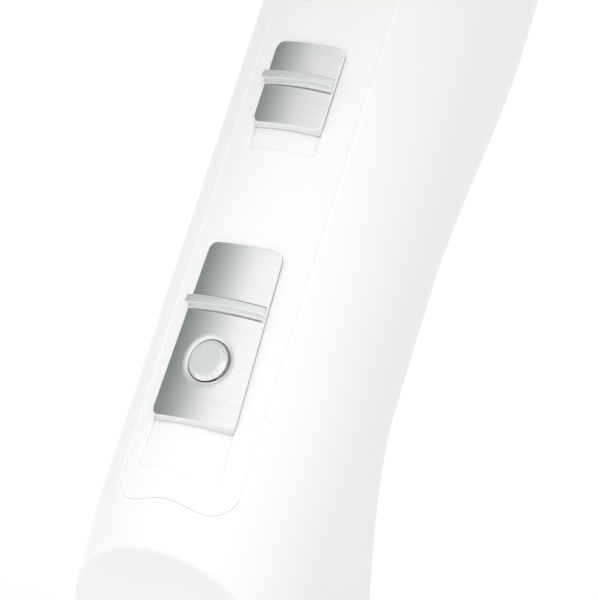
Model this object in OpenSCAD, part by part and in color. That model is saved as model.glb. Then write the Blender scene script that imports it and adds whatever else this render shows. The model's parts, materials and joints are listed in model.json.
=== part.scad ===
// Hair dryer with a pistol handle, two slide switches and a cold-shot button.
// Millimetres. +Z up, air leaves toward -X. The origin is the middle of the grip.
// The barrel axis is parallel to X, the handle leans with its lower end forward.

/* [Handle] */
// Lean of the handle axis from vertical, degrees
lean = 15; // [5:0.5:25]
// Radius of the handle's round front
hw = 19.8; // [17:0.1:24]
// Shell wall
wall = 2.2; // [1.6:0.1:3]
// Rear half-depth at the waist
r_waist = 23.2; // [18:0.1:28]
// Extra rear depth of the shoulder under the barrel
r_hump = 10.8; // [4:0.1:16]
// Extra rear depth of the heel
r_heel = 27; // [6:0.5:32]
// Level of the handle's lower end
z_bot = -70; // [-80:1:-64]
// Half-angle of the control panel, degrees
pan_a = 33; // [28:0.5:38]
// Level of the panel's top edge
pan_top = 55; // [50:0.5:56]
// Level of the panel's wavy lower edge
pan_bot = -49.3; // [-52:0.1:-46]
// Level of the scoop's crest on the front centre line
arch_z = -57.4; // [-60:0.1:-55]

/* [Barrel] */
// Height of the barrel axis above the grip's middle
zb = 101.5; // [96:0.5:110]
// Barrel radius over the handle
rb = 39; // [36:0.5:44]
// Front end of the barrel
x_out = -98; // [-110:1:-90]
// Joint between barrel and rear housing
x_joint = 52; // [50:1:56]
// Outlet spigot radius
r_spig = 29; // [26:0.5:31]
// Length of the concentrator ahead of the collar
nozzle_len = 38; // [25:1:50]
// Width of the concentrator mouth
mouth_w = 70; // [50:1:80]
// Inner height of the concentrator mouth
mouth_h = 8; // [5:0.5:14]

/* [Switches] */
// Height of the upper (speed) slide plate
speed_h = 15; // [12:0.1:18]
// Half-width of the upper slide plate
speed_w = 6.2; // [5:0.1:7]
// Height of the lower (heat) slide plate
heat_h = 30.2; // [24:0.1:34]
// Travel of the speed slide
speed_travel = 3.4; // [2:0.1:6]
// Travel of the heat slide
heat_travel = 7.6; // [5:0.1:9]
// Stroke of the cold-shot button
button_stroke = 1; // [0.5:0.1:1.2]

/* [Fan and motor] */
// Number of fan blades
blades = 7; // [5:1:11]
// Number of guide vanes
vanes = 9; // [7:1:13]
// Motor can radius
r_motor = 14; // [12:0.5:17]
// Radius of the fan at the blade tips
r_fan = 33; // [30:0.5:34]

/* [Hidden] */
$fn = 64;
speed_top = 28.8;
heat_top = -6.7;
button_z = -26.4;
heat_w0 = 6.6;
heat_w1 = 7.5;
r_in = hw - wall;
r_plate_in = 19.35;
r_plate = 20.6;
r_track = 19.05;
track_gap = 0.2;
slot_half = 1.9;
button_slot_half = 1.8;
// Local X of the button's top face, its height, its base radius and its side's taper
button_top = -21.4;
button_h = 1.3;
button_r = 3.45;
button_draft = 0.65;
// Dish round the button
dish_hole_r = 3.85;
dish_r = 6.2;
dish_x = -20.1;
// Stems of the slides, below the top of their plates
stem_drop = 5.2;
stem_half_y = 1.6;
stem_half_z = 1.7;
stem_x0 = -19.6;
stem_x1 = -9;
// Grip ridges across the plates
ridge_low = 1.3;
ridge_high = 1.45;
ridge_front = 1.5;
ridge_depth = 2;
// Posts of the panel that carry the switch board
post_y = 7.4;
post_levels = [44, 3, -46];
hook_levels = [36, -2, -38];
white = [0.95, 0.95, 0.93];
silver = [0.78, 0.78, 0.80];
dark = [0.2, 0.2, 0.21];
mica = [0.72, 0.66, 0.5];
steel = [0.7, 0.7, 0.72];
brass = [0.8, 0.65, 0.3];

// ---------- frames ----------
module on_handle() rotate([0, lean, 0]) children();
module on_barrel() translate([0, 0, zb]) rotate([0, 90, 0]) children();

// Tube along local Z between two levels
module tube(r1, r0, z0, z1)
    difference() {
        translate([0, 0, z0]) cylinder(r = r1, h = z1 - z0);
        translate([0, 0, z0 - 1]) cylinder(r = r0, h = z1 - z0 + 2);
    }

// Bar along local -X direction (out of the handle's front)
module peg(r, x0, x1, y, z)
    translate([x0, y, z]) rotate([0, -90, 0]) cylinder(r = r, h = x0 - x1);

// ---------- handle shell ----------
front_cells = 8;
side_cells = 36;
cols = front_cells + side_cells;
rows_top = 2;
rows_panel = 12;
rows_low = 6;
r_edge = rows_top + rows_panel;
last = r_edge + 1 + rows_low;
ring = 2 * last + 4;
hole_r = 7.6;
hole_x = 8;
bevel = 6;
// Wave of the panel's lower edge: angle of its two lobes, their drop, and the round rise beyond
lobe_a = 19.5;
lobe_drop = 1;
wave_rise = 4.3;
// Scoop in the handle's lower front: bend of its crest, and its depth
crest_bend = 11.2;
crest_drop = 6.5;
scoop_depth = 8.5;
// Narrowing of the foot, and where it starts
foot_taper = 0.9;
foot_z = -50;
// Levels at which the rear shape swells into the heel, and how sharply
heel_z = -18;
heel_power = 2.3;
swell_span = 50;

function ang(j) = j <= front_cells
    ? -pan_a + j * 2 * pan_a / front_cells
    : pan_a + (j - front_cells) * (360 - 2 * pan_a) / side_cells;
function clamp01(v) = min(1, max(0, v));
function smooth(v) = v * v * (3 - 2 * v);
function mix(a, b, t) = a + (b - a) * t;
function r_rear(z) = r_waist + r_hump * smooth(clamp01(z / swell_span))
    + r_heel * pow(clamp01((heel_z - z) / swell_span), heel_power);
function square_n(z) = 2.5 + 1.5 * smooth(clamp01((-z - 20) / 35));
function sgn_pow(v, p) = sign(v) * pow(abs(v), p);
function fold(a) = a > 180 ? 360 - a : abs(a);
function wave_z(a) = fold(a) > pan_a
    ? pan_bot - lobe_drop + wave_rise
    : fold(a) < lobe_a
        ? pan_bot - lobe_drop * pow(sin(fold(a) / lobe_a * 90), 2)
        : pan_bot - lobe_drop
            + wave_rise * (1 - sqrt(1 - pow(min(1, (fold(a) - lobe_a) / (pan_a - lobe_a)), 2)));
function crest_z(a) = arch_z - min(crest_bend * (1 - cos(min(fold(a), 90))), crest_drop);
function dip(z, a) = scoop_depth * clamp01((crest_z(a) - z) / (crest_z(a) - z_bot))
    * (1.5 - 0.5 * clamp01((crest_z(a) - z) / (crest_z(a) - z_bot)))
    * pow(max(0, cos(min(fold(a), 90))), 1.5);
function inset(z) = bevel * (1 - sqrt(1 - pow(clamp01((z_bot + bevel - z) / bevel), 2)));
function taper(z) = foot_taper * clamp01((foot_z - z) / (foot_z - z_bot));
function front_xy(a, w, d) = [-(hw - w) * cos(a) + d, (hw - w) * sin(a)];
function rear_xy(a, w, r, n) =
    [(r - w) * pow(abs(cos(a)), 2 / n), (hw - w) * sgn_pow(sin(a), 2 / n)];
function xy(z, a, w, zs) = cos(a) >= 0
    ? front_xy(a, w + inset(zs) + taper(z), dip(zs, a))
    : rear_xy(a, w + inset(zs) + taper(z), r_rear(z), square_n(z));
function saddle_z(p) =
    (zb - sqrt(pow(rb + 0.1, 2) - p[1] * p[1]) + p[0] * sin(lean)) / cos(lean);
function row_z(i, a, top, low) = i <= rows_top
    ? mix(top, pan_top, i / rows_top)
    : i <= r_edge
        ? mix(pan_top, wave_z(a), (i - rows_top) / rows_panel)
        : i == r_edge + 1
            ? crest_z(a)
            : mix(crest_z(a), low, sin(90 * (i - r_edge - 1) / rows_low));
function shell_point(i, a, w) =
    let (p0 = xy(66, a, w, 66))
    let (top = saddle_z(p0))
    let (low = z_bot + w)
    let (z = row_z(i, a, top, low))
    let (zs = w > 0 ? z - wall * clamp01((crest_z(a) - z) / (crest_z(a) - low)) : z)
    let (p = xy(z, a, w, zs))
    [p[0], p[1], z];
function hole_point(a, z) = [hole_x - hole_r * cos(a), hole_r * sin(a), z];
function grid_point(k, j) = k <= last
    ? shell_point(k, ang(j), 0)
    : k == last + 1
        ? hole_point(ang(j), z_bot)
        : k == last + 2
            ? hole_point(ang(j), z_bot + wall)
            : shell_point(ring - 1 - k, ang(j), wall);
function in_window(k, j) = j < front_cells
    && ((k >= rows_top && k < r_edge)
        || (ring - 2 - k >= rows_top && ring - 2 - k < r_edge));
function id(k, j) = (k % ring) * cols + j % cols;
function quad(a, b, c, d) = [[a, b, c], [a, c, d]];
shell_pts = [for (k = [0:ring - 1], j = [0:cols - 1]) grid_point(k, j)];
shell_faces = [for (k = [0:ring - 1], j = [0:cols - 1], f = in_window(k, j) ? [] :
    quad(id(k, j), id(k, j + 1), id(k + 1, j + 1), id(k + 1, j))) f];
rim_sides = [for (k = [rows_top:r_edge - 1], s = [0, 1], f = s == 0
    ? quad(id(k + 1, 0), id(k, 0), id(ring - 1 - k, 0), id(ring - 2 - k, 0))
    : quad(id(k, front_cells), id(k + 1, front_cells),
        id(ring - 2 - k, front_cells), id(ring - 1 - k, front_cells))) f];
rim_ends = [for (j = [0:front_cells - 1], s = [0, 1], f = s == 0
    ? quad(id(rows_top, j), id(rows_top, j + 1),
        id(ring - 1 - rows_top, j + 1), id(ring - 1 - rows_top, j))
    : quad(id(r_edge, j + 1), id(r_edge, j),
        id(ring - 1 - r_edge, j), id(ring - 1 - r_edge, j + 1))) f];

module handle_shell()
    color(white) on_handle()
        polyhedron(points = shell_pts, faces = concat(shell_faces, rim_sides, rim_ends),
            convexity = 10);

// ---------- control panel ----------
// Wedge that keeps a radial sector of the handle's front
module wedge(a, z0, z1)
    translate([0, 0, z0]) linear_extrude(z1 - z0)
        polygon([[0, 0], [-40, 40 * tan(a)], [-40, -40 * tan(a)]]);

// Plate outline, drawn as (y, z) and pushed out along -X
module outline(half_top, half_bot, z1, z0, r)
    rotate([90, 0, -90]) linear_extrude(30) {
        polygon([[-half_bot, z0 + r], [-half_top, z1 - r], [half_top, z1 - r],
            [half_bot, z0 + r]]);
        polygon([[-half_bot + r, z0], [-half_bot + r, z0 + r + 1],
            [half_bot - r, z0 + r + 1], [half_bot - r, z0]]);
        polygon([[-half_top + r, z1 - r - 1], [-half_top + r, z1], [half_top - r, z1],
            [half_top - r, z1 - r - 1]]);
        for (s = [-1, 1]) {
            translate([s * (half_bot - r), z0 + r]) circle(r = r, $fn = 32);
            translate([s * (half_top - r), z1 - r]) circle(r = r, $fn = 32);
        }
    }

module track(half_top, half_bot, z1, z0)
    difference() {
        outline(half_top, half_bot, z1, z0, 1.6);
        translate([0, 0, z0 - 5]) cylinder(r = r_track, h = z1 - z0 + 10);
    }

module slot(half, z1, z0)
    translate([-30, -half, z0]) cube([26, 2 * half, z1 - z0]);

// Slot that a slide's stem runs in
module stem_slot(top, travel)
    slot(slot_half, top - stem_drop + 2, top - stem_drop - 2 - travel);

// Part of a hook that reaches behind the window's edge
module snap_hook(s, z, a0, a1, r)
    intersection() {
        tube(r, r_in - 1.5, z - 2.5, z + 2.5);
        translate([0, 0, z - 3]) linear_extrude(6)
            polygon([[0, 0], [-40 * cos(a0), s * 40 * sin(a0)],
                [-40 * cos(a1), s * 40 * sin(a1)]]);
    }

panel_gap = 0.35;
panel_half = 15;
panel_rise = 0.4;
function panel_edge() = concat(
    [[-panel_half, pan_top - panel_gap], [panel_half, pan_top - panel_gap],
        [panel_half, wave_z(pan_a) + panel_rise]],
    [for (j = [front_cells:-1:0])
        [hw * sin(ang(j)), wave_z(ang(j)) + panel_gap]],
    [[-panel_half, wave_z(pan_a) + panel_rise]]);

module control_panel()
    color(white) on_handle() {
        difference() {
            intersection() {
                tube(hw, r_in, pan_bot - 6, pan_top);
                wedge(pan_a - 0.5, pan_bot - 7, pan_top + 1);
                rotate([90, 0, -90]) linear_extrude(30) polygon(panel_edge());
            }
            track(speed_w + track_gap, speed_w + track_gap, speed_top + track_gap,
                speed_top - speed_h - speed_travel - track_gap);
            track(heat_w0 + 0.35 + track_gap, heat_w1 + 0.35 + track_gap, heat_top + track_gap,
                heat_top - heat_h - heat_travel - track_gap);
            stem_slot(speed_top, speed_travel);
            stem_slot(heat_top, heat_travel);
            slot(button_slot_half, button_z + button_slot_half,
                button_z - button_slot_half - heat_travel);
        }
        for (s = [-1, 1], z = post_levels)
            difference() {
                peg(2.2, -2.6, -16.3, s * post_y, z);
                peg(0.9, -2, -9, s * post_y, z);
            }
        for (s = [-1, 1], z = hook_levels) {
            snap_hook(s, z, pan_a - 6, pan_a + 4, r_in - 0.25);
            snap_hook(s, z, pan_a - 6, pan_a - 1, r_in + 0.1);
        }
    }

// ---------- handle end ----------
bush_bore = 3.65;
clamp_y = 8;
module inlet_bushing()
    color(dark) on_handle() translate([hole_x, 0, 0])
        difference() {
            union() {
                tube(hole_r - 0.1, bush_bore, z_bot - 0.5, z_bot + 7);
                tube(10, bush_bore, z_bot - 3, z_bot - 0.1);
                translate([0, -11, z_bot + 6]) cube([6, 22, 9]);
            }
            translate([0, 0, z_bot - 5]) cylinder(r = bush_bore, h = 30);
            for (s = [-1, 1])
                translate([-1, s * clamp_y, z_bot + 10.5]) rotate([0, 90, 0])
                    cylinder(r = 1.1, h = 8);
        }

module cord_clamp()
    color(dark) on_handle() translate([hole_x, 0, z_bot])
        difference() {
            translate([-5.5, -11, 7.5]) cube([5.4, 22, 6]);
            translate([0, 0, 5]) cylinder(r = bush_bore, h = 12);
            for (s = [-1, 1])
                translate([-7, s * clamp_y, 10.5]) rotate([0, 90, 0]) cylinder(r = 1.5, h = 10);
        }

module screw(r, head, len)
    union() {
        cylinder(r = r, h = len);
        difference() {
            translate([0, 0, len]) cylinder(r = head, h = 1.5);
            translate([-head, -0.35, len + 0.8]) cube([2 * head, 0.7, 2]);
            translate([-0.35, -head, len + 0.8]) cube([0.7, 2 * head, 2]);
        }
    }

module clamp_screws()
    color(steel) on_handle() translate([hole_x, 0, z_bot + 10.5])
        for (s = [-1, 1])
            translate([5, s * clamp_y, 0]) rotate([0, -90, 0]) screw(1.1, 2.2, 10.5);

loop_r = 5.5;
module hang_loop()
    color(dark) on_handle() translate([hole_x + 17.5, 0, z_bot - 8])
        difference() {
            union() {
                rotate([90, 0, 0]) translate([0, 0, -2]) cylinder(r = loop_r + 2.4, h = 4);
                translate([-6, -2, 1]) cube([12, 4, 6.9]);
            }
            rotate([90, 0, 0]) translate([0, 0, -4]) cylinder(r = loop_r, h = 8);
        }

// ---------- barrel ----------
barrel_out = [[r_spig, x_out], [r_spig, x_out + 12], [32, x_out + 12],
    [33.4, x_out + 24], [35.2, x_out + 40], [36.8, x_out + 56], [38, x_out + 70],
    [38.7, x_out + 82], [rb, x_out + 92], [rb, x_joint]];
barrel_in = [[rb - wall, x_joint], [rb - wall, x_out + 92], [38.7 - wall, x_out + 82],
    [38 - wall, x_out + 70], [36.8 - wall, x_out + 56], [35.2 - wall, x_out + 40],
    [33.4 - wall, x_out + 24], [32 - wall, x_out + 14], [r_spig - wall, x_out + 12],
    [r_spig - wall, x_out]];

module wire_pass()
    on_handle() for (x = [4, 14, 22]) translate([x, 0, 40]) cylinder(r = 7, h = 34);

module barrel_shell()
    color(white)
        difference() {
            on_barrel() rotate_extrude($fn = 96) polygon(concat(barrel_out, barrel_in));
            wire_pass();
            for (s = [-1, 1]) saddle_hole(s, 1.8);
        }

screw_y = 12.5;
screw_x = 30;
module saddle_hole(s, r)
    translate([screw_x, s * screw_y, zb - rb - 2]) cylinder(r = r, h = 14);

module saddle_brace()
    color(dark)
        difference() {
            union() {
                translate([24, -14.3, 53]) cube([12, 28.6, 3]);
                for (s = [-1, 1])
                    translate([screw_x, s * screw_y, 53]) cylinder(r = 3, h = 14);
            }
            on_barrel() cylinder(r = rb + 0.1, h = 80);
            for (s = [-1, 1])
                translate([screw_x, s * screw_y, 50]) cylinder(r = 1.6, h = 20);
            on_handle() translate([14, 0, 40]) cylinder(r = 7, h = 30);
        }

module saddle_screws()
    color(steel) for (s = [-1, 1])
        translate([screw_x, s * screw_y, zb - rb - 6.9]) screw(1.6, 3, 12.6);

module rear_housing()
    color(white) on_barrel() rotate_extrude($fn = 96)
        polygon([[36.5, 44], [rb - wall - 0.1, 44], [rb - wall - 0.1, x_joint + 0.1],
            [rb, x_joint + 0.1], [39.8, 58], [40.4, 64], [40.6, 70], [38.6, 70],
            [38.4, 74], [36.6, 74], [36.6, 70], [37.6, 64], [36.5, 58]]);

module rear_grille()
    color(dark) on_barrel() {
        for (r = [36.9, 30, 24, 18, 12, 6])
            tube(r, r - 1.3, 66, 68);
        for (i = [0:5]) rotate([0, 0, i * 60])
            translate([5.2, -0.8, 66]) cube([31, 1.6, 2]);
    }

module outlet_grille()
    color(dark) on_barrel() {
        for (r = [26.6, 21, 15.5, 10, 4.5])
            tube(r, r - 1.2, x_out + 1, x_out + 4);
        for (i = [0:7]) rotate([0, 0, i * 45])
            translate([3.8, -0.6, x_out + 1]) cube([22, 1.2, 3]);
    }

module filter_cover()
    color(white) on_barrel()
        difference() {
            rotate_extrude($fn = 96)
                polygon([[40.9, 70.4], [41.2, 75], [40.2, 80], [36.5, 83.5], [28, 85.4],
                    [0, 86.6], [0, 84.6], [27.6, 83.4], [35.4, 81.4], [38.6, 78],
                    [38.9, 70.4]]);
            for (i = [0:23]) rotate([0, 0, i * 15])
                translate([14, -1.3, 76]) cube([20, 2.6, 14]);
        }

module filter_mesh()
    color(steel) on_barrel() {
        tube(38.5, 36, 76, 78);
        for (i = [-11:11])
            translate([-sqrt(36.3 * 36.3 - 9 * i * i), 3 * i - 0.2, 76.8])
                cube([2 * sqrt(36.3 * 36.3 - 9 * i * i), 0.4, 0.4]);
        for (i = [-11:11])
            translate([3 * i - 0.2, -sqrt(36.3 * 36.3 - 9 * i * i), 76.5])
                cube([0.4, 2 * sqrt(36.3 * 36.3 - 9 * i * i), 0.4]);
    }

// ---------- nozzle ----------
module nozzle_collar()
    color(silver) on_barrel()
        tube(30.9, r_spig + 0.05, x_out + 3, x_out + 11.6);

module mouth_shape(w, h, z, t)
    translate([0, 0, z]) linear_extrude(t)
        for (s = [-1, 1]) translate([0, s * (w - h) / 2]) circle(d = h, $fn = 32);

module concentrator_nozzle()
    color(dark) on_barrel() {
        difference() {
            union() {
                tube(32.6, 31.2, x_out + 1, x_out + 10.5);
                hull() {
                    translate([0, 0, x_out]) cylinder(r = 32.6, h = 2, $fn = 48);
                    mouth_shape(mouth_w, mouth_h + 3.2, x_out - nozzle_len, 1);
                }
            }
            hull() {
                translate([0, 0, x_out]) cylinder(r = 31.2, h = 3, $fn = 48);
                mouth_shape(mouth_w - 3.2, mouth_h, x_out - nozzle_len - 1, 2);
            }
        }
    }

// ---------- fan and motor ----------
module guide_vanes()
    color(dark) difference() {
        on_barrel() {
            tube(36.4, 34.6, 2, 43);
            tube(r_motor + 1.6, r_motor + 0.05, 4, 30);
            for (i = [0:vanes - 1]) rotate([0, 0, (i + 0.5) * 360 / vanes])
                translate([25, 0, 16]) rotate([16, 0, 0])
                    translate([-10, -0.7, -9]) cube([20.2, 1.4, 18]);
        }
        translate([-1, -5.5, zb - 38]) cube([36, 11, 3.8]);
        for (s = [-1, 1])
            translate([screw_x, s * screw_y, zb - 38]) cylinder(r = 3.6, h = 11);
    }

module motor_can()
    color(steel) on_barrel()
        difference() {
            translate([0, 0, 4]) cylinder(r = r_motor, h = 30);
            translate([0, 0, 5.2]) cylinder(r = r_motor - 1.3, h = 30);
            translate([0, 0, 0]) cylinder(r = 3.2, h = 10);
        }

module motor_magnets()
    color(dark) on_barrel()
        for (s = [0, 180]) rotate([0, 0, s])
            intersection() {
                tube(r_motor - 1.4, r_motor - 3.3, 7, 29);
                translate([0, 0, 6]) linear_extrude(24)
                    polygon([[0, 0], [30, 38], [30, -38]]);
            }

module motor_end_bell()
    color(brass) on_barrel()
        difference() {
            union() {
                tube(r_motor - 1.4, 3.2, 33, 34);
                tube(r_motor, 3.2, 34.1, 36);
                tube(5, 3.2, 36, 39);
            }
            for (s = [0, 180]) rotate([0, 0, s])
                translate([7, -1.5, 30]) cube([4, 3, 10]);
        }

module motor_bushes()
    color(brass) on_barrel() {
        tube(3.2, 1.2, 3, 6.5);
        tube(3.2, 1.2, 34, 39);
    }

module motor_brushes()
    color(dark) on_barrel()
        for (s = [0, 180]) rotate([0, 0, s + 90])
            translate([3.45, -1.3, 28.6]) cube([6.5, 2.6, 3]);

module motor_shaft()
    color(steel) on_barrel() translate([0, 0, 1.5]) cylinder(r = 1.15, h = 54.5);

module armature()
    color(brass) on_barrel()
        difference() {
            translate([0, 0, 9]) cylinder(r = 9.9, h = 16);
            translate([0, 0, 8]) cylinder(r = 1.15, h = 18);
            for (i = [0:2]) rotate([0, 0, i * 120])
                translate([4.5, -1.6, 8]) cube([8, 3.2, 18]);
        }

module commutator()
    color(brass) on_barrel() tube(3.1, 1.15, 27, 32.6);

module fan_impeller()
    color(dark) on_barrel() {
        difference() {
            union() {
                translate([0, 0, 42]) cylinder(r = 15, h = 13);
                translate([0, 0, 55]) cylinder(r1 = 15, r2 = 9, h = 5);
            }
            difference() {
                translate([0, 0, 41]) cylinder(r = 13.4, h = 12.5);
                translate([0, 0, 41.5]) cylinder(r = 3.6, h = 14);
            }
            translate([0, 0, 41]) cylinder(r = 1.15, h = 15);
        }
        for (i = [0:blades - 1]) rotate([0, 0, i * 360 / blades])
            intersection() {
                translate([23.5, 0, 48.5]) rotate([38, 0, 0])
                    translate([-9.5, -0.8, -8]) cube([25, 1.6, 16]);
                tube(r_fan, 14.5, 42.2, 54.8);
            }
    }

module rectifier_board()
    color([0.2, 0.4, 0.25]) on_barrel() {
        tube(12.5, 6, 36.2, 37.4);
        for (i = [0:3]) rotate([0, 0, 45 + i * 90])
            translate([7.5, -1.4, 37.3]) cube([4, 2.8, 2.2]);
    }

// ---------- heater ----------
hx0 = -80;
hx1 = -18;
module heater_frame()
    color(mica) on_barrel() {
        difference() {
            for (a = [0, 90]) rotate([0, 0, a]) {
                translate([-20.2, -0.4, hx0]) cube([40.4, 0.8, hx1 - hx0]);
                translate([-25.9, -0.4, hx0]) cube([51.8, 0.8, 3]);
                translate([-25.9, -0.4, hx1 - 6]) cube([51.8, 0.8, 6]);
            }
            for (i = [0:5], a = [0:90:270]) rotate([0, 0, a])
                translate([11.8, -1, hx0 + 5.3 + 8 * i]) cube([1.4, 2, 1.4]);
        }
        tube(26.6, 25.6, hx1 - 2, hx1);
    }

module coil_rings(r, wire, z0, step, count)
    for (i = [0:count - 1]) translate([0, 0, z0 + i * step])
        rotate_extrude() translate([r, 0]) circle(r = wire, $fn = 16);

module main_coil()
    color(steel) on_barrel() coil_rings(21, 0.7, hx0 + 6, 6.5, 8);

module low_coil()
    color(steel) on_barrel() coil_rings(12.5, 0.6, hx0 + 6, 8, 6);

module mica_tube()
    color(mica) on_barrel() tube(26.65, 26.1, x_out + 5, hx1 - 3);

module thermostat()
    color(steel) on_barrel() translate([7, 0.45, -27]) rotate([-90, 0, 0]) {
        cylinder(r = 4, h = 2.6);
        translate([-1, -6.5, 0]) cube([2, 13, 0.5]);
    }

module thermal_fuse()
    color(steel) on_barrel() translate([-7, 2.3, -34]) {
        cylinder(r = 1.8, h = 9);
        translate([0, 0, -5]) cylinder(r = 0.5, h = 19);
    }

// ---------- switches ----------
module switch_board()
    color([0.2, 0.4, 0.25]) on_handle()
        difference() {
            translate([-2.5, -10.5, -50]) cube([1.6, 21, 98]);
            for (s = [-1, 1], z = post_levels)
                translate([-4, s * post_y, z]) rotate([0, 90, 0]) cylinder(r = 1.1, h = 6);
        }

module board_screws()
    color(steel) on_handle()
        for (s = [-1, 1], z = post_levels)
            translate([-7.5, s * post_y, z]) rotate([0, 90, 0]) screw(0.9, 2, 6.7);

module switch_body(z1, z0, zs, travel)
    difference() {
        translate([-11.6, -4.5, z0]) cube([9, 9, z1 - z0]);
        translate([-12.6, -2.2, zs - 3 - travel]) cube([6, 4.4, 6 + travel]);
    }

speed_stem_z = speed_top - stem_drop;
heat_stem_z = heat_top - stem_drop;
module speed_switch()
    color(dark) on_handle()
        switch_body(speed_top + 3, speed_top - 16, speed_stem_z, speed_travel);

module heat_switch()
    color(dark) on_handle()
        switch_body(heat_top + 2, heat_top - 20, heat_stem_z, heat_travel);

module terminal_block()
    color([0.85, 0.85, 0.8]) on_handle()
        difference() {
            translate([-0.9, -8, -44]) cube([8, 16, 9]);
            for (y = [-4, 4]) translate([3.5, y, -46]) cylinder(r = 1.6, h = 13);
        }

module thumb_plate(half_top, half_bot, z1, z0)
    intersection() {
        tube(r_plate, r_plate_in, z0 - 1, z1 + 1);
        outline(half_top, half_bot, z1, z0, 1.5);
    }

// Square peg behind a plate that moves the switch
module stem(z)
    translate([stem_x0, -stem_half_y, z - stem_half_z])
        cube([stem_x1 - stem_x0, 2 * stem_half_y, 2 * stem_half_z]);

// Thumb ridge: a bar with a flat front and a slanted underside
module ridge(half_a, z1)
    intersection() {
        rotate_extrude()
            polygon([[r_plate - 0.4, z1], [r_plate + ridge_low, z1],
                [r_plate + ridge_high, z1 - ridge_front], [r_plate, z1 - ridge_depth],
                [r_plate - 0.4, z1 - ridge_depth]]);
        wedge(half_a, z1 - 3, z1 + 1);
    }

module speed_slider()
    color(silver) on_handle() {
        thumb_plate(speed_w, speed_w, speed_top, speed_top - speed_h);
        ridge(17, speed_top - 5.8);
        stem(speed_stem_z);
    }

module speed_knob()
    color(white) on_handle()
        difference() {
            translate([-13.6, -2.6, speed_stem_z - 2.9]) cube([1.7, 5.2, 5.8]);
            stem(speed_stem_z);
        }

module heat_slider()
    color(silver) on_handle() {
        difference() {
            thumb_plate(heat_w0, heat_w1, heat_top, heat_top - heat_h);
            peg(dish_hole_r, -10, -30, 0, button_z);
            translate([dish_x, 0, button_z]) rotate([0, -90, 0])
                cylinder(r1 = dish_hole_r, r2 = dish_r, h = 1.4);
        }
        ridge(19, heat_top - 9.6);
        stem(heat_stem_z);
    }

module heat_carriage()
    color(white) on_handle()
        difference() {
            translate([-13.6, -2.6, -35]) cube([1.7, 5.2, heat_stem_z + 2.9 + 35]);
            stem(heat_stem_z);
            peg(1.75, -10, -16, 0, button_z);
        }

module cold_shot_contact()
    color(brass) on_handle() translate([0, 1.6, 0]) rotate([90, 0, 0]) linear_extrude(3.2)
        polygon([[-11.85, -34.8], [-11.55, -34.8], [-11.55, -31.5], [-10.9, -27.4],
            [-11.2, -27.3], [-11.85, -31.4]]);

module cold_shot_button()
    color(silver) on_handle() {
        translate([button_top + button_h, 0, button_z]) rotate([0, -90, 0])
            cylinder(r1 = button_r, r2 = button_r - button_draft, h = button_h);
        peg(1.5, -11.9 - button_stroke, button_top + button_h - 0.4, 0, button_z);
        peg(2.7, -16.2, -16.9, 0, button_z);
    }

module button_spring()
    color(steel) on_handle() for (i = [0:3])
        translate([-13.85 - i * 0.65, 0, button_z]) rotate([0, -90, 0])
            rotate_extrude() translate([2.1, 0]) circle(r = 0.2, $fn = 16);

// ---------- wiring ----------
module wire(pts, r)
    for (i = [0:len(pts) - 2]) {
        d = pts[i + 1] - pts[i];
        l = norm(d);
        translate(pts[i]) rotate([0, acos(d[2] / l), atan2(d[1], d[0])])
            cylinder(r = r, h = l, $fn = 16);
        translate(pts[i + 1]) sphere(r = r * 1.12, $fn = 24);
    }

module wiring()
    color([0.75, 0.2, 0.15]) for (s = [-1, 1]) {
        on_handle() wire([[3.5, s * 4, -35], [9, s * 4.6, -22], [9, s * 4.6, 20],
            [13, s * 3, 60]], 1);
        wire([[28.09, s * 3, 54.6], [28.4, s * 3, 66.5], [0, s * 3, 67.6],
            [-13, s * 3, 71], [-16.9, s * 3, 79]], 1);
    }

handle_shell();
control_panel();
inlet_bushing();
cord_clamp();
clamp_screws();
hang_loop();
barrel_shell();
rear_housing();
rear_grille();
outlet_grille();
saddle_brace();
saddle_screws();
switch_board();
speed_switch();
heat_switch();
terminal_block();
board_screws();
wiring();
guide_vanes();
motor_can();
motor_magnets();
motor_end_bell();
motor_bushes();
motor_brushes();
rectifier_board();
heater_frame();
main_coil();
low_coil();
mica_tube();
thermostat();
thermal_fuse();
speed_slider();
speed_knob();
heat_slider();
heat_carriage();
cold_shot_contact();
cold_shot_button();
button_spring();
motor_shaft();
armature();
commutator();
fan_impeller();
filter_cover();
filter_mesh();
nozzle_collar();
concentrator_nozzle();
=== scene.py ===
"""Looks of the hair dryer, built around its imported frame.

Shapes are worked out in millimetres, in the handle's own leaning frame or along the barrel's
axis, and become metres in the row frame when a mesh is made. In the handle's frame the rounded
front faces -X and +Z runs up the grip.
"""

import json
from math import asin, atan2, copysign, cos, degrees, hypot, pi, radians, sin, sqrt, tan

import bmesh
import bpy
import numpy as np
from mathutils import Matrix, Vector
from mathutils.geometry import delaunay_2d_cdt

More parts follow.
